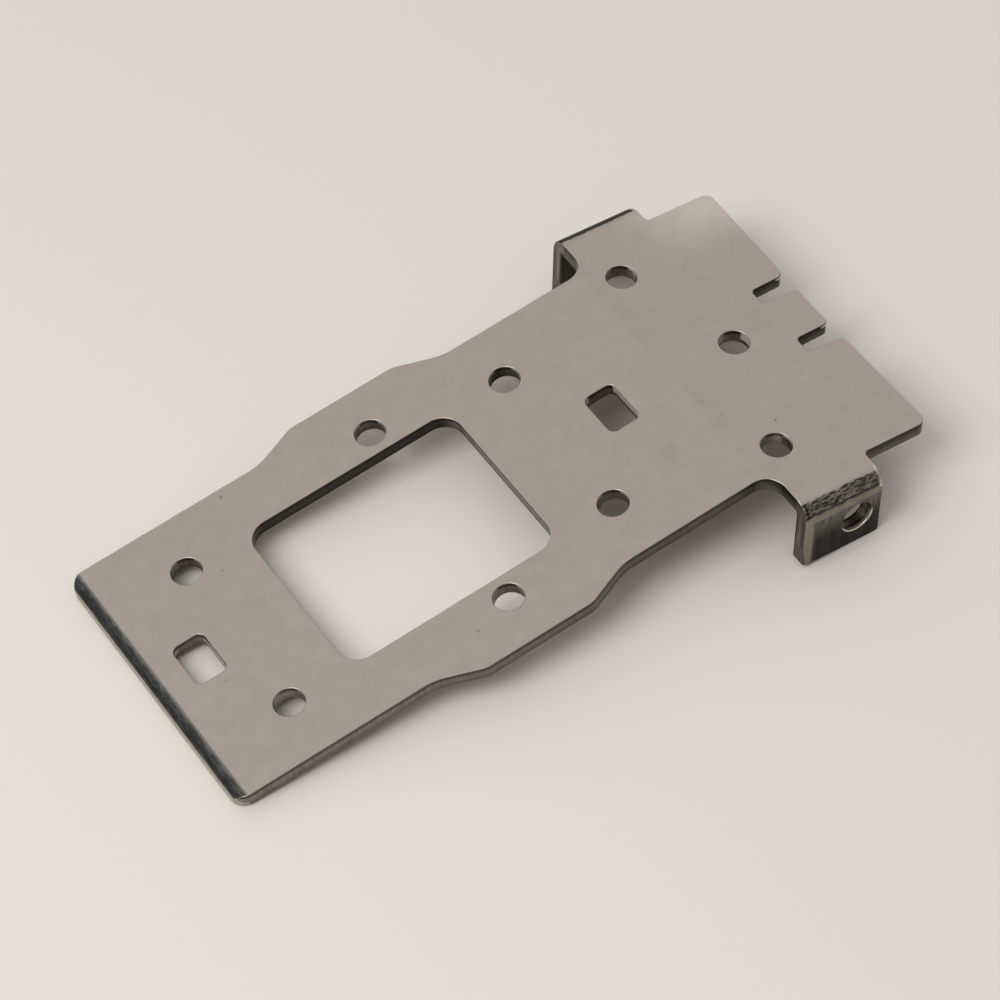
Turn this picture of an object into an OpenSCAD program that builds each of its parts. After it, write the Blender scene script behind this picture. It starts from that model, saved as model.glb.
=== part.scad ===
// Chassis brace, pressed from one sheet of zinc plated steel.
// A long body plate carries a wide head. The head is folded down a little along a crease and
// has a folded flange on each side, so that the brace stands on its short end and its flanges.
// All sizes are in millimetres. Distances along the body start at its short end, distances
// along the head start at the crease.

/* [Sheet] */
// Thickness of the sheet
sheet_t = 3.2; // [2.4:0.1:4]
// Inside radius of the two flange folds
fold_r = 0.6; // [0.3:0.1:2.5]
// Inside radius of the crease between body and head
crease_r = 5; // [2:0.5:10]
// Angle by which the head is folded down from the body
crease_angle = 9.8; // [4:0.1:16]
// Radius pressed onto the upper edge of the short end
nose_r = 2.5; // [0.5:0.1:3]

/* [Body plate] */
// Length of the body, from the short end to the crease
body_l = 121.5; // [116:0.5:150]
// Width of the body
body_w = 65; // [62:0.5:71]
// Width of the belly, the wider stretch beside the window
belly_w = 72.8; // [67:0.1:79]
// Length of the belly's full width
belly_l = 24.4; // [16:0.2:34]
// Distance from the short end to the middle of the belly
belly_x = 66.5; // [60:0.5:74]
// Angle at which the sides widen into the belly
flare_angle = 22; // [15:1:35]
// Radius at the outer ends of each flare
flare_outer_r = 5; // [1:0.5:10]
// Radius at the inner ends of each flare
flare_inner_r = 12; // [2:0.5:18]
// Radius of the two corners of the short end
end_corner_r = 3.3; // [1:0.1:8]

/* [Window] */
// Distance from the short end to the window
window_x = 33.5; // [30:0.5:38]
// Length of the window
window_l = 48.3; // [40:0.1:52]
// Width of the window
window_w = 40; // [30:0.5:42]
// Radius of the window's corners
window_r = 4.6; // [1:0.1:12]

/* [Bolt holes] */
// Diameter of the bolt holes in body and head
bolt_d = 6.4; // [4:0.1:7.5]
// Distance from the short end to the front pair
front_pair_x = 19.9; // [18:0.1:25]
// Distance between the two holes of the front pair
front_pair_pitch = 38.8; // [30:0.1:50]
// Distance between the two holes of the belly pair
belly_pair_pitch = 50.5; // [49.5:0.1:56]
// Distance from the short end to the rear pair
rear_pair_x = 94.9; // [88:0.1:100]
// Distance between the two holes of the rear pair
rear_pair_pitch = 38.8; // [30:0.1:50]
// Distance from the crease to the head pair
head_pair_x = 7; // [5:0.1:12]
// Distance between the two holes of the head pair
head_pair_pitch = 54.2; // [44:0.1:62]
// Distance from the crease to the single hole in the middle of the head
head_middle_x = 15.9; // [10:0.1:20]

/* [Locating holes] */
// Length of the two locating holes, along the body
key_l = 7; // [5:0.1:8]
// Width of the two locating holes, across the body
key_w = 10.6; // [8:0.1:16]
// Corner radius of the two locating holes
key_r = 1.6; // [0.4:0.1:2.2]
// Distance from the short end to the middle of the front locating hole
front_key_x = 11.3; // [8.5:0.1:16]
// Distance from the short end to the middle of the rear locating hole
rear_key_x = 107.7; // [100:0.1:110]

/* [Flanges] */
// Width over the two flanges
flange_span = 89; // [86:0.5:100]
// Distance from the crease to the flanges
flange_x = 2; // [1:0.1:4]
// Length of each flange
flange_l = 18.4; // [15:0.1:22]
// Height of each flange, from the top of the head to its lower edge
flange_h = 16.5; // [14:0.1:24]
// Radius of the lower corners of each flange
flange_corner_r = 0.9; // [0.5:0.1:4]
// Radius of the relief between body and flange
relief_r = 4.4; // [2:0.1:5]
// Distance from the front of the flange to its bolt hole
flange_bolt_x = 12.7; // [6:0.1:13]
// Depth of the flange's bolt hole below the top of the head
flange_bolt_z = 9.2; // [8.4:0.1:11]
// Diameter of the flange's bolt hole
flange_bolt_d = 7; // [4:0.1:7.5]

/* [Ears and tab] */
// Length of the ears, from the crease to their furthest point
ear_l = 35.8; // [32:0.1:45]
// Width over the two ears
ear_span = 75.5; // [70:0.1:76.5]
// Angle by which each ear's end leans forward to the outside
ear_lean = 1.2; // [0:0.1:4]
// Radius of the outer corners of the ears
ear_corner_r = 2; // [0.5:0.1:5]
// Length of the tab, from the crease to its end
tab_l = 35.4; // [32:0.1:45]
// Width of the tab where it leaves the head
tab_w = 11.5; // [8:0.1:16]
// Width of the two slots at their floor
slot_w = 4.2; // [3:0.1:8]
// Distance from the crease to the slot floors
slot_x = 27; // [23:0.1:29]
// Angle by which each side of a slot opens towards its mouth
slot_taper = 2; // [0.5:0.5:5]
// Radius of the corners at the slot floors
slot_floor_r = 1; // [0.3:0.1:1.4]
// Radius of the corners at the slot mouths
slot_mouth_r = 1.5; // [0.3:0.1:2]

/* [Hidden] */
$fn = 96;

// Distance by which a cut runs past the face that it opens
past = 2;
// A round's circle is drawn this much larger, so that it crosses its edges cleanly
hair = 0.001;

// The two folds
fold_outer_r = fold_r + sheet_t;
// Half the width of the flat between the two flange folds
flat_y = flange_span / 2 - fold_outer_r;
crease_outer_r = crease_r + sheet_t;
// Distance from the meeting line of the two upper faces to where each face is flat again
crease_setback = crease_outer_r * tan(crease_angle / 2);

// The flares beside the belly
flare_rise = (belly_w - body_w) / 2;
flare_run = flare_rise / tan(flare_angle);
// Half the belly's length with its flares
belly_reach = belly_l / 2 + flare_run;

// The head
flange_end = flange_x + flange_l;
// Distance from the ear's end to where its leaning edge would meet its side
ear_tip = ear_l - ear_corner_r + ear_corner_r / cos(ear_lean) + ear_corner_r * tan(ear_lean);
slot_inner_y = tab_w / 2;
slot_outer_y = slot_inner_y + slot_w;
// Radius between an ear and the rear of its flange, which stays on the flat of the head
step_r = min(1, (flat_y - ear_span / 2) / 2);

// How the brace rests: on the lower edge of the short end and the rear lower corners of the
// flanges. The corner's centre is worked out from the short end's lower edge, in the body's
// own plane, and the brace is tipped until the corner's lowest point is level with that edge.
corner_x = body_l + (flange_end - flange_corner_r) * cos(crease_angle)
    - (flange_h - flange_corner_r) * sin(crease_angle);
corner_z = sheet_t - (flange_end - flange_corner_r) * sin(crease_angle)
    - (flange_h - flange_corner_r) * cos(crease_angle);
rest_tilt = asin(flange_corner_r / norm([corner_x, corner_z])) + atan2(-corner_z, corner_x);
head_tilt = crease_angle - rest_tilt;

// Ends of the resting brace along the floor, measured from the short end's upper corner line
front_x = nose_r * (cos(rest_tilt) + sin(rest_tilt) - 1);
rear_x = body_l * cos(rest_tilt) + max(ear_l, tab_l) * cos(head_tilt);

// Unit vector at an angle
function along(angle) = [cos(angle), sin(angle)];

// What lies between a corner and the round that replaces it. The corner's two edges leave the
// point p at the angles from and to, which are less than half a turn apart. The piece also runs
// a little past the corner, so that no edge of it lies along an edge of what it is cut from.
module corner_round(p, from, to, r) {
    half = abs(to - from) / 2;
    middle = (from + to) / 2;
    reach = r / tan(half);
    translate(p)
        difference() {
            polygon([reach * along(from), -reach / 2 * along(middle), reach * along(to)]);
            translate(r / sin(half) * along(middle))
                circle(r + hair);
        }
}

// The same piece on both sides of the middle line
module both_sides() {
    children();
    mirror([0, 1])
        children();
}

// Rectangle with round corners, between two opposite corners
module round_rect(low, high, r) {
    difference() {
        translate(low)
            square(high - low);
        corner_round(low, 0, 90, r);
        corner_round([high[0], low[1]], 90, 180, r);
        corner_round(high, 180, 270, r);
        corner_round([low[0], high[1]], 270, 360, r);
    }
}

// Widening of one side beside the window, with a hollow round where it leaves the side and an
// outer round where it reaches its full width
module belly_side() {
    y0 = body_w / 2;
    y1 = belly_w / 2;
    x0 = belly_x - belly_reach;
    x1 = belly_x - belly_l / 2;
    x2 = belly_x + belly_l / 2;
    x3 = belly_x + belly_reach;
    difference() {
        polygon([[x0, y0 - past], [x0, y0], [x1, y1], [x2, y1], [x3, y0], [x3, y0 - past]]);
        corner_round([x1, y1], 180 + flare_angle, 360, flare_outer_r);
        corner_round([x2, y1], 180, 360 - flare_angle, flare_outer_r);
    }
    corner_round([x0, y0], flare_angle, 180, flare_inner_r);
    corner_round([x3, y0], 0, 180 - flare_angle, flare_inner_r);
}

// Outline of the body's sides, which runs past both its ends
module body_sides() {
    translate([-2 * past, -body_w / 2])
        square([body_l + 2 * past, body_w]);
    both_sides()
        belly_side();
}

// One locating hole around its middle
module key_hole(x) {
    round_rect([x - key_l / 2, -key_w / 2], [x + key_l / 2, key_w / 2], key_r);
}

// A pair of bolt holes, each at the same distance from the middle line
module bolt_pair(x, pitch) {
    both_sides()
        translate([x, pitch / 2])
            circle(d = bolt_d);
}

// Side view of the folded strip in the head's plane, with the crease at 0. The nose is pressed
// onto the upper edge of the short end.
module strip_section() {
    body_way = 180 + crease_angle;
    short_end = body_l * along(body_way);
    low_corner = [sheet_t * tan(crease_angle / 2), -sheet_t];
    difference() {
        polygon([short_end, [0, 0], [ear_l + past, 0], [ear_l + past, -sheet_t], low_corner,
            short_end + sheet_t * along(body_way + 90)]);
        corner_round(short_end, crease_angle - 90, crease_angle, nose_r);
        corner_round([0, 0], body_way, 360, crease_outer_r);
    }
    corner_round(low_corner, body_way, 360, crease_r);
}

// The strip, folded along the crease and as wide as the flat between the two flange folds
module strip() {
    translate([0, flat_y, 0])
        rotate([90, 0, 0])
            linear_extrude(2 * flat_y)
                strip_section();
}

// Turns what is drawn in the body's plane, with the short end at 0, to where the body is
module on_body() {
    rotate([0, -crease_angle, 0])
        translate([-body_l, 0, 0])
            children();
}

// A cut through the sheet, square to the plate whose upper face is at height 0
module punch() {
    translate([0, 0, -sheet_t - past])
        linear_extrude(sheet_t + 2 * past)
            children();
}

// What is cut from the strip outside the body, up to where the reliefs take over
module body_waste() {
    difference() {
        translate([-past, -flat_y - past])
            square([body_l - relief_r + past, 2 * (flat_y + past)]);
        body_sides();
    }
    both_sides()
        corner_round([0, body_w / 2], -90, 0, end_corner_r);
}

// Holes in the body
module body_holes() {
    round_rect([window_x, -window_w / 2], [window_x + window_l, window_w / 2], window_r);
    key_hole(front_key_x);
    key_hole(rear_key_x);
    bolt_pair(front_pair_x, front_pair_pitch);
    bolt_pair(belly_x, belly_pair_pitch);
    bolt_pair(rear_pair_x, rear_pair_pitch);
}

// Section through the flanges: two folds and the flat between them
module channel_section() {
    difference() {
        translate([-flange_span / 2, -flange_h])
            square([flange_span, flange_h]);
        translate([-flange_span / 2 + sheet_t, -flange_h - past])
            square([flange_span - 2 * sheet_t, flange_h + past - sheet_t]);
        corner_round([-flange_span / 2, 0], -90, 0, fold_outer_r);
        corner_round([flange_span / 2, 0], 180, 270, fold_outer_r);
    }
    corner_round([-flange_span / 2 + sheet_t, -sheet_t], -90, 0, fold_r);
    corner_round([flange_span / 2 - sheet_t, -sheet_t], 180, 270, fold_r);
}

// Folded middle of the head, from the front of the flanges to their rear
module channel() {
    difference() {
        translate([flange_x, 0, 0])
            rotate([90, 0, 90])
                linear_extrude(flange_l)
                    channel_section();
        // The lower corners of the flanges and their bolt holes, cut across the brace
        translate([0, flange_span / 2 + past, 0])
            rotate([90, 0, 0])
                linear_extrude(flange_span + 2 * past) {
                    corner_round([flange_x, -flange_h], 0, 90, flange_corner_r);
                    corner_round([flange_end, -flange_h], 90, 180, flange_corner_r);
                }
        translate([flange_x + flange_bolt_x, 0, -flange_bolt_z])
            rotate([90, 0, 0])
                cylinder(d = flange_bolt_d, h = flange_span + 2 * past, center = true);
    }
}

// One slot in the end of the head, beside the tab. Its sides open towards the mouth, where they
// run past both the tab and the ear.
module slot() {
    open = 2 * (max(ear_l, tab_l) - slot_x);
    spread = open * tan(slot_taper);
    difference() {
        polygon([[slot_x, slot_inner_y], [slot_x + open, slot_inner_y - spread],
            [slot_x + open, slot_outer_y + spread], [slot_x, slot_outer_y]]);
        corner_round([slot_x, slot_inner_y], -slot_taper, 90, slot_floor_r);
        corner_round([slot_x, slot_outer_y], -90, slot_taper, slot_floor_r);
    }
}

// What is cut from the strip beyond one ear: past its leaning end and beside it, with the ear's
// outer corner round and a small hollow round between the ear and the rear of the flange
module ear_waste() {
    ear_y = ear_span / 2;
    out_y = flat_y + past;
    out_x = ear_l + 2 * past;
    difference() {
        polygon([[ear_tip - ear_y * tan(ear_lean), 0], [ear_tip, ear_y], [flange_end, ear_y],
            [flange_end, out_y], [out_x, out_y], [out_x, 0]]);
        corner_round([flange_end, ear_y], 0, 90, step_r);
    }
    corner_round([ear_tip, ear_y], 180, 270 - ear_lean, ear_corner_r);
}

// What is cut from the end of the head: the ears' outlines, the slots, and what lies past the
// tab, with the four corners at the slots' mouths round
module head_end_waste() {
    mid_y = slot_inner_y + slot_w / 2;
    tab_y = slot_inner_y - (tab_l - slot_x) * tan(slot_taper);
    // Where the outer side of a slot meets the leaning end of its ear
    mouth_y = (slot_outer_y + (ear_tip - ear_span / 2 * tan(ear_lean) - slot_x) * tan(slot_taper))
        / (1 - tan(ear_lean) * tan(slot_taper));
    mouth_x = ear_tip - (ear_span / 2 - mouth_y) * tan(ear_lean);
    both_sides() {
        ear_waste();
        slot();
        corner_round([tab_l, tab_y], 180 - slot_taper, 270, slot_mouth_r);
        corner_round([mouth_x, mouth_y], 90 - ear_lean, 180 + slot_taper, slot_mouth_r);
    }
    translate([tab_l, -mid_y])
        square([ear_l + 2 * past - tab_l, 2 * mid_y]);
}

// Holes in the head
module head_holes() {
    bolt_pair(head_pair_x, head_pair_pitch);
    translate([head_middle_x, 0])
        circle(d = bolt_d);
}

// What is cut away on one side between the neck and the front of the flange, in the head's
// plane, with a round in its inner corner
module relief() {
    start_x = -2 * crease_setback - relief_r - past;
    difference() {
        translate([start_x, body_w / 2])
            square([flange_x - start_x, flat_y + past - body_w / 2]);
        corner_round([flange_x, body_w / 2], 90, 180, relief_r);
    }
}

// Whole brace, folded, in the head's own plane
module folded_brace() {
    difference() {
        union() {
            strip();
            channel();
        }
        punch() {
            both_sides()
                relief();
            head_end_waste();
            head_holes();
        }
        on_body()
            punch() {
                body_waste();
                body_holes();
            }
    }
}

// The brace as it rests, over the middle of the floor that it covers
module brace() {
    color("silver")
        translate([body_l * cos(rest_tilt) - (front_x + rear_x) / 2, 0,
            sheet_t * cos(rest_tilt) + body_l * sin(rest_tilt)])
            rotate([0, head_tilt, 0])
                folded_brace();
}

brace();
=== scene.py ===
"""Visual model of a chassis brace: one pressed and folded sheet of zinc plated steel.

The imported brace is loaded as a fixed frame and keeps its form. This script gives it the rounded
edges that punching leaves, a plated finish with the marks of its pressing and folding, a pale
floor, soft light and the camera. Lengths are in millimetres until they reach Blender.
"""

import bpy  # noqa: E402
import numpy as np  # noqa: E402
from mathutils import Matrix, Vector  # noqa: E402

MM = 0.001

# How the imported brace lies: its body rises towards the head, and the head falls a little.
REST_TILT = np.radians(6.77344)
HEAD_TILT = np.radians(3.02656)
# Its lengths. Those along the body start at the short end, and those along the head at the
# crease. The outer face of a fold has the radius FOLD_R, and a flange hole lies at (x, z).
BODY_L = 121.5
HALF_BODY = 32.5
NOSE_R = 2.5
WINDOW_ENDS, HALF_WINDOW = (33.5, 81.8), 20.0
HALF_KEY = 5.3
HALF_SPAN = 44.5
FOLD_R = 3.8
FLANGE_FRONT, FLANGE_REAR = 2.0, 20.4
FLANGE_HOLE, FLANGE_HOLE_R = (14.7, -9.2), 3.5
SLOT_FLOOR = 27.0
# The upper corner line of the short end, and the crease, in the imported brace's own frame.
SHORT_END = np.array([-78.3397, 0.0, 3.1777])
CREASE = SHORT_END + BODY_L * np.array([np.cos(REST_TILT), 0.0, np.sin(REST_TILT)])

# The edge left by the punch, and how far the fold's surface runs from its start to its end.
PUNCH_ROLL = 0.2
FOLD_RUN = FOLD_R * np.pi / 2
# Painted shade: the body's cut faces grow darker between these distances from the short end, for
# the darker reflections where the body rises from the floor.
SHADED_SPAN = (25.0, 105.0)

PLATE = (0.455, 0.411, 0.374)
CUT_LIGHT = (0.300, 0.272, 0.250)
CUT_DARK = (0.205, 0.186, 0.172)
# Bright tone for polished metal, also used for painted glints and highlights.
POLISH_AND_GLINT = (0.740, 0.700, 0.600)
RUBBED_HIGHLIGHT = (0.290, 0.276, 0.215)
SCORED = (0.175, 0.167, 0.138)
SCUFFED = (0.520, 0.480, 0.450)
# Pale tone of the painted highlight on some hole walls. It is not metallic, so the key light
# brightens it.
WALL_GLINT = (0.480, 0.440, 0.400)
# Dark tone for real marks and specks, also used for painted shade.
GRIME_AND_SHADE = (0.016, 0.014, 0.013)
# Dark painted shade round the nose's bend, and the painted highlight where the bend starts.
NOSE_SHADE = (0.045, 0.046, 0.050)
NOSE_HIGHLIGHT = (0.425, 0.420, 0.405)

# Small dark marks as (x, y, radius, strength), on the body and on the head.
BODY_MARKS = [
    (12.7, -7.5, 0.40, 0.18),
    (34.5, 30.5, 0.35, 0.35),
    (110.9, -16.5, 2.2, 0.05),
]
HEAD_MARKS = [
    (10.6, -21.7, 0.22, 0.6),
    (18.9, 22.0, 0.4, 0.12),
    (1.2, -9.9, 0.6, 0.10),
    (2.6, -14.6, 0.5, 0.10),
]
FLOOR = (0.790, 0.772, 0.735)
LIGHT = (1.0, 0.965, 0.915)
# Azimuth from +X towards +Y, and elevation, of the middle of the soft light, in degrees.
SOFT_BOX = (80, 60)


class Graph:
    """A node tree with short calls for the nodes that the finishes are made of."""

    def __init__(self, tree):
        self.tree = tree

    def add(self, kind, **settings):
        node = self.tree.nodes.new(kind)
        for name, value in settings.items():
            setattr(node, name, value)
        return node

    def put(self, socket, value):
        if isinstance(value, bpy.types.NodeSocket):
            self.tree.links.new(value, socket)
        else:
            socket.default_value = value

    def math(self, operation, *values, clamp=False):
        node = self.add("ShaderNodeMath", operation=operation, use_clamp=clamp)
        for socket, value in zip(node.inputs, values):
            self.put(socket, value)
        return node.outputs[0]

    def vector(self, operation, *values):
        node = self.add("ShaderNodeVectorMath", operation=operation)
        for socket, value in zip(node.inputs, values):
            self.put(socket, value)
        return node.outputs["Value" if operation in ("DOT_PRODUCT", "LENGTH") else 0]

    def parts(self, vector):
        node = self.add("ShaderNodeSeparateXYZ")
        self.put(node.inputs[0], vector)
        return node.outputs[0], node.outputs[1], node.outputs[2]

    def join(self, x, y, z):
        node = self.add("ShaderNodeCombineXYZ")
        for socket, value in zip(node.inputs, (x, y, z)):
            self.put(socket, value)
        return node.outputs[0]

    def ramp(self, value, start, end, low=0.0, high=1.0):
        """Rises smoothly from low to high while the value goes from start to end."""
        node = self.add("ShaderNodeMapRange", interpolation_type="SMOOTHSTEP")
        for socket, setting in zip(node.inputs, (value, start, end, low, high)):
            self.put(socket, setting)
        return node.outputs[0]

    def band(self, value, start, end, soft):
        """1 between start and end, with soft shoulders on both sides."""
        rise = self.ramp(value, start - soft, start + soft)
        return self.math("MULTIPLY", rise, self.ramp(value, end - soft, end + soft, 1.0, 0.0))

    def product(self, *values):
        result = values[0]
        for value in values[1:]:
            result = self.math("MULTIPLY", result, value)
        return result

    def sum(self, *values):
        result = values[0]
        for value in values[1:]:
            result = self.math("ADD", result, value)
        return result

    def other(self, mask):
        """The other part of a mask: 1 less the mask."""
        return self.math("SUBTRACT", 1.0, mask)

    def distance(self, a, b):
        """The length of the flat vector (a, b)."""
        return self.math("SQRT", self.sum(self.product(a, a), self.product(b, b)))

    def mix(self, factor, a, b):
        node = self.add("ShaderNodeMix", data_type="FLOAT")
        for socket, value in zip((node.inputs[0], node.inputs[2], node.inputs[3]), (factor, a, b)):
            self.put(socket, value)
        return node.outputs[0]

    def tint(self, factor, a, b, blend="MIX"):
        node = self.add("ShaderNodeMix", data_type="RGBA", blend_type=blend)
        for socket, value in zip((node.inputs[0], node.inputs[6], node.inputs[7]), (factor, a, b)):
            self.put(socket, (*value, 1.0) if isinstance(value, tuple) else value)
        return node.outputs[2]

    def noise(self, vector, scale, detail=2.0, roughness=0.5):
        node = self.add("ShaderNodeTexNoise")
        self.put(node.inputs["Vector"], vector)
        for name, value in (("Scale", scale), ("Detail", detail), ("Roughness", roughness)):
            self.put(node.inputs[name], value)
        return node.outputs["Fac"]

    def stretch(self, vector, scale):
        return self.vector("MULTIPLY", vector, scale)


def group(name, inputs, outputs, build):
    """A node group with named float or vector sockets, filled in by build(graph, given)."""
    tree = bpy.data.node_groups.new(name, "ShaderNodeTree")
    for label, kind, value in inputs:
        socket = tree.interface.new_socket(label, in_out="INPUT", socket_type=kind)
        if value is not None:
            socket.default_value = value
    for label, kind in outputs:
        tree.interface.new_socket(label, in_out="OUTPUT", socket_type=kind)
    graph = Graph(tree)
    given = graph.add("NodeGroupInput").outputs
    result = graph.add("NodeGroupOutput")
    for label, value in build(graph, given).items():
        graph.put(result.inputs[label], value)
    return tree


def use(graph, tree, **values):
    """Places a group in a graph and returns its outputs."""
    node = graph.add("ShaderNodeGroup", node_tree=tree)
    for label, value in values.items():
        graph.put(node.inputs[label.replace("_", " ")], value)
    return node.outputs


FLOAT, VECTOR = "NodeSocketFloat", "NodeSocketVector"


def sheet_map():
    """Where a point lies on the folded sheet, in millimetres.

    Body and Head give it in the plane of each plate, x from the short end or from the crease.
    Depth is the way in from the sheet's outer face: with qy = max(|y| - 40.7, 0) and
    qz = max(z + 3.8, 0) in the head's plane it is 3.8 - sqrt(qy^2 + qz^2), round the folds too.
    Run follows the outer face from where a fold starts, 3.8 atan2(qy, qz), and then down the
    flange. Flange is 1 beyond the start of a fold.
    """

    def build(g, given):
        place = g.stretch(g.add("ShaderNodeTexCoord").outputs["Object"], (1 / MM,) * 3)

        def plate(origin, lift):
            away = g.vector("SUBTRACT", place, tuple(origin))
            along = g.vector("DOT_PRODUCT", away, (float(np.cos(lift)), 0.0, float(np.sin(lift))))
            above = g.vector("DOT_PRODUCT", away, (-float(np.sin(lift)), 0.0, float(np.cos(lift))))
            return along, g.parts(away)[1], above

        body, head = plate(SHORT_END, REST_TILT), plate(CREASE, -HEAD_TILT)
        side = g.math("ABSOLUTE", head[1])
        qy = g.math("MAXIMUM", g.math("SUBTRACT", side, HALF_SPAN - FOLD_R), 0.0)
        qz = g.math("MAXIMUM", g.math("ADD", head[2], FOLD_R), 0.0)
        out = g.distance(qy, qz)
        on_head = g.math("GREATER_THAN", body[0], BODY_L)
        depth = g.mix(on_head, g.math("MULTIPLY", body[2], -1.0), g.math("SUBTRACT", FOLD_R, out))
        round_fold = g.math("MULTIPLY", g.math("ARCTAN2", qy, qz), FOLD_R)
        down = g.math("MAXIMUM", g.math("SUBTRACT", -FOLD_R, head[2]), 0.0)
        flange = g.math("MULTIPLY", on_head, g.math("GREATER_THAN", side, HALF_SPAN - FOLD_R))
        return {
            "Body": g.join(*body),
            "Head": g.join(*head),
            "Depth": depth,
            "Run": g.math("ADD", round_fold, down),
            "Flange": flange,
        }

    outputs = [
        ("Body", VECTOR), ("Head", VECTOR), ("Depth", FLOAT), ("Run", FLOAT), ("Flange", FLOAT),
    ]
    return group("sheet map", [], outputs, build)


def cut_face():
    """1 on the faces that the punch cut through the sheet, and 0 on the rolled faces.

    On the plates a cut face stands upright, so its normal has little z. On the flanges it is an
    end, whose normal runs along the brace, or the lower edge.
    """

    def build(g, given):
        across = g.add("ShaderNodeTexCoord").outputs["Normal"]
        nx, _, nz = (g.math("ABSOLUTE", n) for n in g.parts(across))
        standing = g.ramp(nz, 0.50, 0.25)
        ends = g.ramp(g.math("MAXIMUM", nx, nz), 0.70, 0.90)
        beyond = g.ramp(given["Run"], FOLD_RUN - 1.0, FOLD_RUN)
        ends = g.mix(beyond, g.ramp(nx, 0.70, 0.90), ends)
        return {"Cut": g.mix(given["Flange"], standing, ends)}

    return group("cut face", [("Flange", FLOAT, 0.0), ("Run", FLOAT, 0.0)], [("Cut", FLOAT)], build)


def plating_grain():
    """The plating's own unevenness: cloudy tone, fine grain and a few dark specks."""

    def build(g, given):
        place = given["Place"]
        cloud = g.noise(g.stretch(place, (0.045, 0.06, 0.06)), 1.0, 3.0, 0.55)
        mottle = g.noise(place, 0.28, 4.0, 0.62)
        grain = g.noise(place, 2.2, 2.0, 0.6)
        speck_place = g.add("ShaderNodeTexVoronoi", feature="F1")
        g.put(speck_place.inputs["Vector"], place)
        g.put(speck_place.inputs["Scale"], 0.075)
        g.put(speck_place.inputs["Randomness"], 1.0)
        speck = g.ramp(speck_place.outputs["Distance"], 0.045, 0.015)
        tone = g.sum(
            g.mix(cloud, 0.955, 1.045), g.mix(grain, -0.05, 0.05), g.mix(mottle, -0.12, 0.12)
        )
        return {"Tone": tone, "Grain": grain, "Speck": speck}

    return group(
        "plating grain", [("Place", VECTOR, None)],
        [("Tone", FLOAT), ("Grain", FLOAT), ("Speck", FLOAT)], build,
    )


def drawn_marks():
    """Scored and polished streaks that a tool leaves where it slides along the metal.

    Along is the place with the sliding direction as its third coordinate.
    """

    def build(g, given):
        fine = g.noise(g.stretch(given["Along"], (2.6, 2.6, 0.22)), 1.0, 3.0, 0.65)
        broad = g.noise(g.stretch(given["Along"], (0.55, 0.55, 0.05)), 1.0, 2.0, 0.5)
        return {"Fine": g.ramp(fine, 0.30, 0.70), "Broad": g.ramp(broad, 0.32, 0.68)}

    outputs = [("Fine", FLOAT), ("Broad", FLOAT)]
    return group("drawn marks", [("Along", VECTOR, None)], outputs, build)


def spots():
    """A soft round mark of the given radius about a centre, in the plane of a plate."""

    def build(g, given):
        away = g.vector("SUBTRACT", given["Place"], given["Centre"])
        x, y, _ = g.parts(away)
        return {"Mark": g.ramp(g.math("DIVIDE", g.distance(x, y), given["Radius"]), 1.5, 0.5)}

    inputs = [("Place", VECTOR, None), ("Centre", VECTOR, None), ("Radius", FLOAT, 1.0)]
    return group("spots", inputs, [("Mark", FLOAT)], build)


def shade(g, colour, tone):
    """A colour made darker or lighter by a tone, which is a number or a socket."""
    if isinstance(tone, float):
        return tuple(part * tone for part in colour)
    return g.tint(1.0, colour, g.join(tone, tone, tone), "MULTIPLY")


def plate_finish(g, sheet, grain):
    """Rolled faces: even satin plating with a faint cloudy tone and a few marks. Painted light
    brightens it a little on the head, and a painted sheen brightens it clearly towards the outer
    corner of the ear on the +Y side."""
    hx, hy, _ = g.parts(sheet["Head"])
    # Painted light: a little brighter on the head, and a painted sheen towards the outer corner of
    # the ear on the +Y side.
    ear = g.product(g.ramp(hx, 10.0, 36.0), g.ramp(hy, 20.0, 37.0), 0.52)
    lighter = g.sum(g.ramp(hx, 2.0, 8.0, 1.0, 1.03), ear)
    colour = shade(g, PLATE, g.product(grain["Tone"], lighter))
    mark_group = spots()
    inner = g.ramp(sheet["Depth"], 0.6, 0.3)
    for place, marks in ((sheet["Body"], BODY_MARKS), (sheet["Head"], HEAD_MARKS)):
        for x, y, radius, strength in marks:
            mark = use(g, mark_group, Place=place, Centre=(x, y, 0.0), Radius=radius)["Mark"]
            colour = g.tint(g.product(mark, inner, strength), colour, GRIME_AND_SHADE)
    colour = g.tint(g.product(grain["Speck"], 0.25), colour, GRIME_AND_SHADE)
    return colour, g.mix(grain["Grain"], 0.36, 0.44)


def inside_openings(g, sheet):
    """1 on the walls of the holes and the window, away from the sheet's outline, and 1 on the
    walls of the window alone."""
    bx, by, _ = g.parts(sheet["Body"])
    hx = g.parts(sheet["Head"])[0]
    side = g.math("ABSOLUTE", by)
    inside = g.product(
        g.ramp(side, HALF_BODY - 1.0, HALF_BODY - 2.0),
        g.ramp(bx, 3.5, 4.5),
        g.ramp(hx, SLOT_FLOOR - 5.0, SLOT_FLOOR - 6.0),
    )
    window = g.product(
        g.ramp(side, HALF_WINDOW + 1.5, HALF_WINDOW + 0.5),
        g.band(bx, WINDOW_ENDS[0] - 1.0, WINDOW_ENDS[1] + 1.0, 0.3),
    )
    return inside, window


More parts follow.
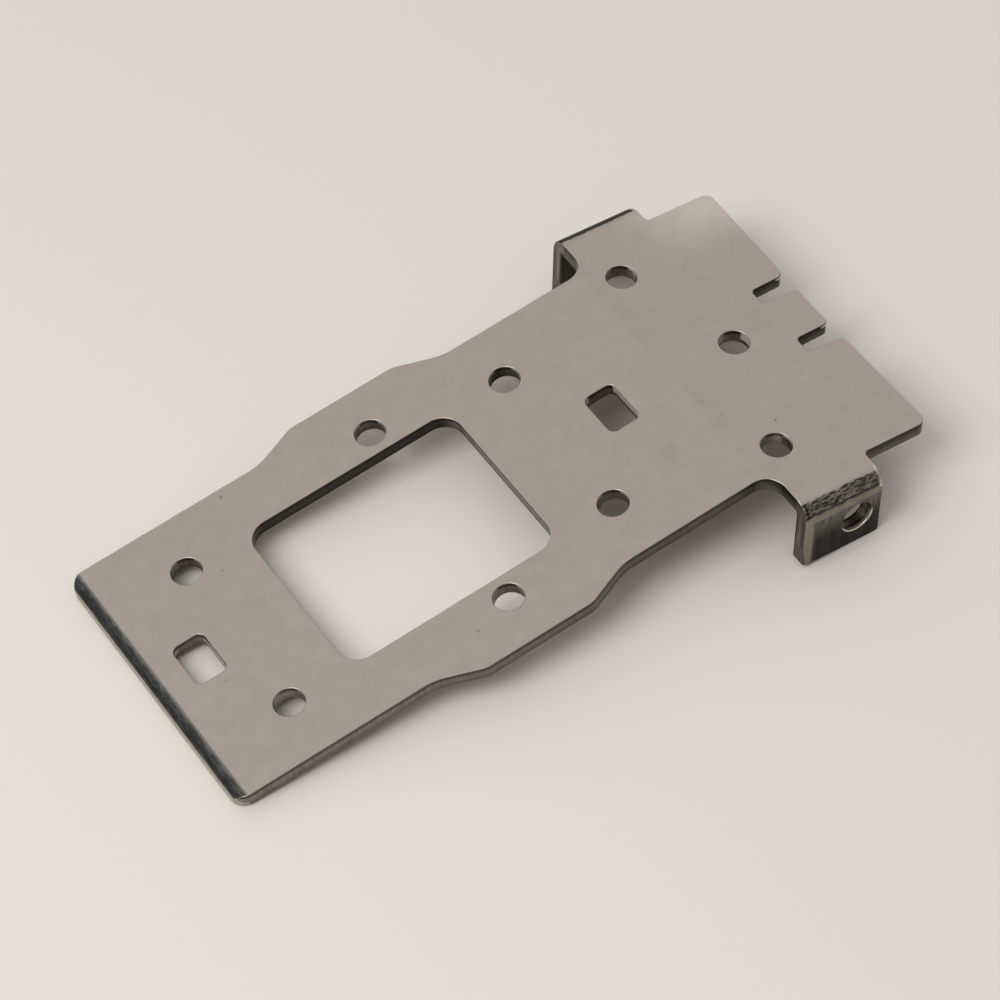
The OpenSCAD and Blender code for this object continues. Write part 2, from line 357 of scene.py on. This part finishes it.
def cut_finish(g, sheet, drawn):
    """Cut faces: a dark line where the punch rolled the metal in, a smooth sheared zone, and the
    torn inner third. Painted shade darkens them towards the head, more so inside the openings.
    Painted light and shade lie on the walls that face across the brace, and a painted highlight
    stands for the bright sheared band on some walls. The third output is 1 on that highlight."""
    bx, by, _ = g.parts(sheet["Body"])
    hx = g.parts(sheet["Head"])[0]
    nx, ny, _ = g.parts(g.add("ShaderNodeTexCoord").outputs["Normal"])
    side = g.math("ABSOLUTE", by)
    depth, flange = sheet["Depth"], sheet["Flange"]
    inside, window = inside_openings(g, sheet)

    down_flange = g.ramp(sheet["Run"], 3.5, 7.0, 0.4, 1.0)
    down_flange = g.product(down_flange, g.band(depth, 0.18, 1.4, 0.14))
    rolled_in = g.mix(g.mix(flange, g.band(depth, 0.22, 0.85, 0.14), down_flange), 1.0, 0.32)

    on_body = g.ramp(depth, 1.9, 2.3, 1.0, 0.86)
    on_head = g.ramp(depth, 1.5, 2.4, g.mix(inside, 0.52, 1.35), g.mix(inside, 1.30, 1.10))
    torn = g.mix(g.ramp(hx, -6.0, 3.0), on_body, on_head)
    torn = g.mix(flange, torn, g.ramp(depth, 2.45, 2.75, 1.0, 0.22))

    # Painted shade on the cut faces, growing towards the head.
    outline, openings = g.ramp(bx, *SHADED_SPAN, 1.0, 0.62), g.ramp(bx, *SHADED_SPAN, 0.93, 0.45)
    shade_towards_head = g.mix(flange, g.mix(inside, openings, outline), 0.78)

    # Painted light and shade on the walls that face across the brace: bright in the holes towards
    # -Y and on the head, duller in those towards +Y and in the front key, and dark in the window.
    lit = g.mix(g.ramp(bx, 112.0, 125.0), g.ramp(by, 16.0, 0.0, 0.72, 1.8), 1.75)
    lit = g.product(lit, g.ramp(bx, 15.2, 16.2, 0.5, 1.0))
    across = g.ramp(g.math("ABSOLUTE", ny), 0.3, 0.9)
    wall_lighting = g.mix(g.product(inside, across), 1.0, g.mix(window, lit, 0.17))

    colour = g.tint(drawn["Fine"], CUT_DARK, CUT_LIGHT)
    colour = shade(g, colour, g.product(rolled_in, torn, shade_towards_head, wall_lighting))

    # Painted highlight: a bright glint on the rounded corners at the mouths of the slots.
    slot_mouth_glint = g.product(
        g.ramp(side, 11.5, 10.5), g.ramp(hx, 33.0, 33.8),
        g.band(depth, 0.42, 0.95, 0.12), g.ramp(ny, 0.0, -0.3),
    )
    colour = g.tint(slot_mouth_glint, colour, POLISH_AND_GLINT)

    # A painted highlight on walls that face -X, and on far walls that face -Y, stands for their
    # bright sheared band. It runs down from the upper edge, furthest in the rear square hole. In
    # the front one it lies half way down the wall.
    key = g.ramp(side, HALF_KEY + 0.7, HALF_KEY + 0.2)
    lip = g.ramp(depth, g.mix(key, 0.55, 1.9), g.mix(key, 0.95, 2.3), 1.0, 0.0)
    lip = g.mix(g.product(key, g.ramp(bx, 21.0, 20.0)), lip, g.band(depth, 1.1, 2.2, 0.2))
    far_wall = g.product(g.ramp(nx, 0.05, 0.20), g.ramp(ny, -0.6, -0.8))
    facing = g.math("MAXIMUM", g.ramp(nx, -0.80, -0.92), far_wall)
    wall_glint = g.product(inside, g.other(window), facing, lip)
    colour = g.tint(wall_glint, colour, WALL_GLINT)
    return colour, g.mix(g.ramp(depth, 1.9, 2.3), 0.34, 0.55), wall_glint


def flange_finish(g, sheet, drawn_group, cut, colour, rough):
    """The flanges: rubbed smooth in a strip below the fold and along the front edge, where a
    painted highlight lies on the rub, and scored down the face, which painted shade darkens towards
    its lower rear corner. The hole has a bright rim below, and the inner faces carry painted shade."""
    hx, hy, hz = g.parts(sheet["Head"])
    run, depth = sheet["Run"], sheet["Depth"]
    rolled_face = g.product(sheet["Flange"], g.other(cut))
    face = g.product(rolled_face, g.ramp(depth, 1.2, 0.8), g.ramp(run, 4.8, 5.4))
    streak = use(g, drawn_group, Along=g.join(hx, hy, hz))
    scored = g.tint(streak["Fine"], shade(g, SCORED, 0.40), SCORED)
    # Painted shade: the scored face darkens towards its lower rear corner.
    lower = g.product(g.ramp(run, 8.0, 13.5), g.ramp(hx, FLANGE_FRONT + 0.8, FLANGE_FRONT + 3.5))
    scored = g.tint(g.mix(streak["Broad"], g.product(lower, 0.8), lower), scored, GRIME_AND_SHADE)
    colour = g.tint(face, colour, scored)

    # Strip below the fold and along the front edge: rubbed by the die, and its brightness is partly
    # a painted highlight.
    under_fold = g.product(g.band(run, 5.3, 7.1, 0.4), 0.7)
    front = g.ramp(hx, FLANGE_FRONT + 2.5, FLANGE_FRONT + 1.5)
    polish_and_highlight = g.product(face, g.math("MAXIMUM", under_fold, front))
    colour = g.tint(polish_and_highlight, colour, g.tint(streak["Broad"], shade(g, RUBBED_HIGHLIGHT, 0.8), RUBBED_HIGHLIGHT))

    ax = g.math("SUBTRACT", hx, FLANGE_HOLE[0])
    az = g.math("SUBTRACT", hz, FLANGE_HOLE[1])
    below = g.ramp(g.math("SUBTRACT", g.product(ax, 0.25), az), -0.3, 2.0)
    ring = g.band(g.distance(ax, az), FLANGE_HOLE_R - 0.15, FLANGE_HOLE_R + 0.32, 0.06)
    rim = g.product(sheet["Flange"], below, ring, g.ramp(depth, 0.9, 0.5))
    colour = g.tint(rim, colour, POLISH_AND_GLINT)
    rough = g.mix(g.math("MAXIMUM", polish_and_highlight, rim), rough, 0.3)

    # Painted shade on the flanges' inner faces, inside the channel.
    inner_face = g.product(rolled_face, g.ramp(depth, 2.6, 3.0))
    colour = shade(g, colour, g.mix(inner_face, 1.0, 0.15))
    return colour, rough, g.product(face, streak["Fine"], 1.2)


def fold_finish(g, sheet, cut, colour, rough):
    """The folds: scuffed by the die along the bend, with a dark line of painted shade near the
    front and a bright heel at the rear. The fold on the +Y side is painted dark as shade, without
    the light scuffs."""
    hx, hy, _ = g.parts(sheet["Head"])
    run = sheet["Run"]
    outside = g.product(sheet["Flange"], g.other(cut), g.ramp(sheet["Depth"], 1.2, 0.8))
    left = g.math("GREATER_THAN", hy, 0.0)
    scuff = g.noise(g.stretch(g.join(hx, run, hy), (0.62, 3.6, 0.05)), 1.0, 4.0, 0.72)
    hard = g.math(
        "SUBTRACT", g.ramp(scuff, 0.46, 0.60), g.ramp(run, 3.0, 2.0, 0.0, 0.30), clamp=True
    )
    # On the +Y side hard stays 0, so the whole band there takes the dark tone: painted shade.
    hard = g.product(hard, g.ramp(run, 4.8, 4.2), g.other(left))
    wander = g.noise(g.stretch(g.join(hx, hy, run), (0.5, 0.05, 1.0)), 1.0)
    ragged = g.sum(run, g.mix(wander, -0.5, 0.5), g.product(left, 0.85))
    scuffed = g.product(outside, g.band(ragged, 1.8, 5.1, 0.16))
    colour = g.tint(scuffed, colour, g.tint(hard, shade(g, SCUFFED, 0.13), SCUFFED))

    # Painted shade: a dark line near the front of the fold, along its rolled front edge.
    near_front = g.band(hx, FLANGE_FRONT + 0.45, FLANGE_FRONT + 0.95, 0.15)
    front_dark_line = g.product(outside, near_front, g.band(run, 1.9, 5.3, 0.4), 0.85)
    colour = g.tint(front_dark_line, colour, GRIME_AND_SHADE)
    at_rear = g.ramp(hx, FLANGE_REAR - 0.9, FLANGE_REAR - 0.5)
    heel = g.product(outside, at_rear, g.band(run, 0.9, 5.6, 0.3), 0.75)
    colour = g.tint(heel, colour, POLISH_AND_GLINT)
    rough = g.mix(scuffed, rough, g.mix(hard, 0.6, 0.28))
    return colour, rough, g.product(scuffed, scuff, 6.0)


def nose_finish(g, sheet, colour, rough):
    """The rounded short end: lightly scored round the bend, where painted shade makes it dark, with
    a pale painted highlight where the bend starts, fading into painted shade, and bright at its
    lower edge, whose sheared band carries a painted highlight. Turn is the angle round the bend, in
    radians."""
    bx, _, bz = g.parts(sheet["Body"])
    turn = g.math("ARCTAN2", g.math("SUBTRACT", NOSE_R, bx), g.sum(bz, NOSE_R))
    at_end = g.ramp(bx, NOSE_R + 0.02, NOSE_R - 0.10)
    score = g.noise(g.stretch(sheet["Body"], (1.6, 0.35, 1.6)), 1.0, 4.0, 0.7)
    score = g.ramp(score, 0.42, 0.68)
    ragged = g.sum(turn, g.mix(score, 0.05, -0.05))
    across = g.math("ABSOLUTE", g.parts(g.add("ShaderNodeTexCoord").outputs["Normal"])[1])
    corner = g.ramp(across, 0.10, 0.35)
    plain = g.other(corner)

    # Painted highlight where the bend starts, then painted shade as the surface turns away.
    start = g.product(plain, g.ramp(bx, NOSE_R + 0.6, NOSE_R))
    colour = g.tint(start, colour, NOSE_HIGHLIGHT)
    darker = g.ramp(bx, NOSE_R + 0.35, NOSE_R - 0.1, 1.0, 0.50)
    colour = shade(g, colour, g.mix(plain, 1.0, darker))
    # Painted shade round the bend, over the real score marks.
    bent = g.product(at_end, plain, g.ramp(ragged, -0.02, 0.32))
    colour = g.tint(bent, colour, g.tint(score, NOSE_SHADE, shade(g, NOSE_SHADE, 2.4)))

    # Bright lower edge: the sheared band, with a painted highlight on it.
    corner_low = g.product(corner, g.ramp(across, 0.90, 0.40), g.ramp(sheet["Depth"], 0.85, 1.10))
    low = g.product(at_end, g.math("MAXIMUM", g.ramp(turn, 1.02, 1.16), corner_low))
    colour = g.tint(low, colour, g.tint(score, shade(g, POLISH_AND_GLINT, 0.55), shade(g, POLISH_AND_GLINT, 0.70)))
    rough = g.mix(bent, rough, g.mix(score, 0.42, 0.30))
    return colour, g.mix(low, rough, 0.25), g.product(bent, score, 1.5)


def zinc_plate():
    """Bright zinc on pressed steel, with its cut faces, folds, flanges and short end."""
    material = bpy.data.materials.new("zinc_plate")
    material.use_nodes = True
    g = Graph(material.node_tree)
    shader = material.node_tree.nodes["Principled BSDF"]
    drawn_group = drawn_marks()
    sheet = use(g, sheet_map())
    cut = use(g, cut_face(), Flange=sheet["Flange"], Run=sheet["Run"])["Cut"]
    bx, by, _ = g.parts(sheet["Body"])
    grain = use(g, plating_grain(), Place=sheet["Body"])
    drawn = use(g, drawn_group, Along=g.join(bx, by, sheet["Depth"]))

    colour, rough = plate_finish(g, sheet, grain)
    cut_colour, cut_rough, wall_glint = cut_finish(g, sheet, drawn)
    colour, rough = g.tint(cut, colour, cut_colour), g.mix(cut, rough, cut_rough)
    colour, rough, scored_height = flange_finish(g, sheet, drawn_group, cut, colour, rough)
    colour, rough, scuffed_height = fold_finish(g, sheet, cut, colour, rough)
    colour, rough, nose_height = nose_finish(g, sheet, colour, rough)
    g.put(shader.inputs["Base Color"], colour)
    g.put(shader.inputs["Roughness"], rough)
    g.put(shader.inputs["Metallic"], g.other(g.product(cut, wall_glint)))

    bump = g.add("ShaderNodeBump")
    bump.inputs["Strength"].default_value = 0.6
    bump.inputs["Distance"].default_value = 0.02 * MM
    g.put(bump.inputs["Height"], g.sum(
        g.product(grain["Grain"], 0.25), g.product(cut, drawn["Fine"], 0.8),
        scored_height, scuffed_height, nose_height,
    ))
    g.put(shader.inputs["Normal"], bump.outputs[0])
    return material


def round_punched_edges(brace):
    """Rolls every cut edge over by the punch's roll, and shades the faces evenly."""
    for polygon in brace.data.polygons:
        polygon.use_smooth = True
    weld = brace.modifiers.new("join facets", "WELD")
    weld.merge_threshold = 0.002 * MM
    flat = brace.modifiers.new("flat faces", "DECIMATE")
    flat.decimate_type = "DISSOLVE"
    flat.angle_limit = np.radians(0.25)
    roll = brace.modifiers.new("punch roll", "BEVEL")
    roll.limit_method = "ANGLE"
    roll.angle_limit = np.radians(40)
    roll.width = PUNCH_ROLL * MM
    roll.segments = 3
    roll.use_clamp_overlap = False
    roll.loop_slide = False
    even = brace.modifiers.new("even shading", "WEIGHTED_NORMAL")
    even.mode = "FACE_AREA"
    even.weight = 80


def finish_brace(brace):
    brace.data.materials.clear()
    brace.data.materials.append(zinc_plate())
    round_punched_edges(brace)


def pale_floor():
    size = 6.0
    corners = [(-size, -size, 0), (size, -size, 0), (size, size, 0), (-size, size, 0)]
    mesh = bpy.data.meshes.new("floor")
    mesh.from_pydata(corners, [], [(0, 1, 2, 3)])
    floor = bpy.data.objects.new("floor", mesh)
    bpy.context.scene.collection.objects.link(floor)
    material = bpy.data.materials.new("floor")
    material.use_nodes = True
    shader = material.node_tree.nodes["Principled BSDF"]
    shader.inputs["Base Color"].default_value = (*FLOOR, 1.0)
    shader.inputs["Roughness"].default_value = 0.7
    shader.inputs["Specular IOR Level"].default_value = 0.2
    mesh.materials.append(material)


def direction(azimuth, elevation):
    a, e = np.radians(azimuth), np.radians(elevation)
    return Vector((np.cos(e) * np.cos(a), np.cos(e) * np.sin(a), np.sin(e)))


def soft_light(name, azimuth, elevation, distance, width, height, radiance):
    """A soft box that faces the brace."""
    light = bpy.data.lights.new(name, "AREA")
    light.shape = "RECTANGLE"
    light.size, light.size_y = width, height
    light.energy = radiance * np.pi * width * height
    light.color = LIGHT
    lamp = bpy.data.objects.new(name, light)
    way = direction(azimuth, elevation)
    lamp.location = way * distance
    lamp.rotation_mode = "QUATERNION"
    lamp.rotation_quaternion = way.to_track_quat("Z", "Y")
    bpy.context.scene.collection.objects.link(lamp)


def studio():
    """One broad soft light behind the brace, mirrored by its upper faces, and a smaller key.

    The surroundings are brightest at SOFT_BOX and fall off smoothly to the side of the camera
    and towards the horizon.
    """
    world = bpy.data.worlds.new("studio")
    bpy.context.scene.world = world
    world.use_nodes = True
    g = Graph(world.node_tree)
    way = g.add("ShaderNodeTexCoord").outputs["Generated"]
    towards = g.vector("DOT_PRODUCT", way, tuple(direction(*SOFT_BOX)))
    facing = g.ramp(towards, 0.05, 0.80, 0.24, 0.78)
    above = g.ramp(g.parts(way)[2], 0.05, 0.50, 0.12, 1.0)
    background = world.node_tree.nodes["Background"]
    background.inputs["Color"].default_value = (*LIGHT, 1.0)
    g.put(background.inputs["Strength"], g.math("MULTIPLY", facing, above))
    soft_light(
        "key", azimuth=188, elevation=50, distance=1.4, width=0.8, height=0.8, radiance=4.8
    )


def camera():
    """The photograph's view: the fitted place, turn and lens, and a small shift of the frame."""
    data = bpy.data.cameras.new("camera")
    data.sensor_width = 36.0
    data.lens = 155.908
    data.shift_x = -0.0005
    data.shift_y = 0.0075
    data.clip_start, data.clip_end = 0.05, 20.0
    eye = bpy.data.objects.new("camera", data)
    right = Vector((0.8382127, -0.5446115, -0.0282449))
    up = Vector((0.4344300, 0.6355307, 0.6382565))
    back = Vector((-0.3296513, -0.5472651, 0.7693055))
    turn = Matrix((right, up, back)).transposed().to_4x4()
    place = Vector((-280.8150, -469.4584, 663.0690)) * MM
    eye.matrix_world = Matrix.Translation(place) @ turn
    bpy.context.scene.collection.objects.link(eye)
    bpy.context.scene.camera = eye


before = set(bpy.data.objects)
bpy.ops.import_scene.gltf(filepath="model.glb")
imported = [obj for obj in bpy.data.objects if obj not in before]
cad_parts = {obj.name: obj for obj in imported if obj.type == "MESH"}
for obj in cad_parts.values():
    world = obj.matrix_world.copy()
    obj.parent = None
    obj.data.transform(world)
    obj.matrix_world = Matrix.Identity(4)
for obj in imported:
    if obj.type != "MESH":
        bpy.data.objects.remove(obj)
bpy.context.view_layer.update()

camera()
studio()
pale_floor()
finish_brace(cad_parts["brace"])
bpy.context.scene.view_settings.view_transform = "Standard"
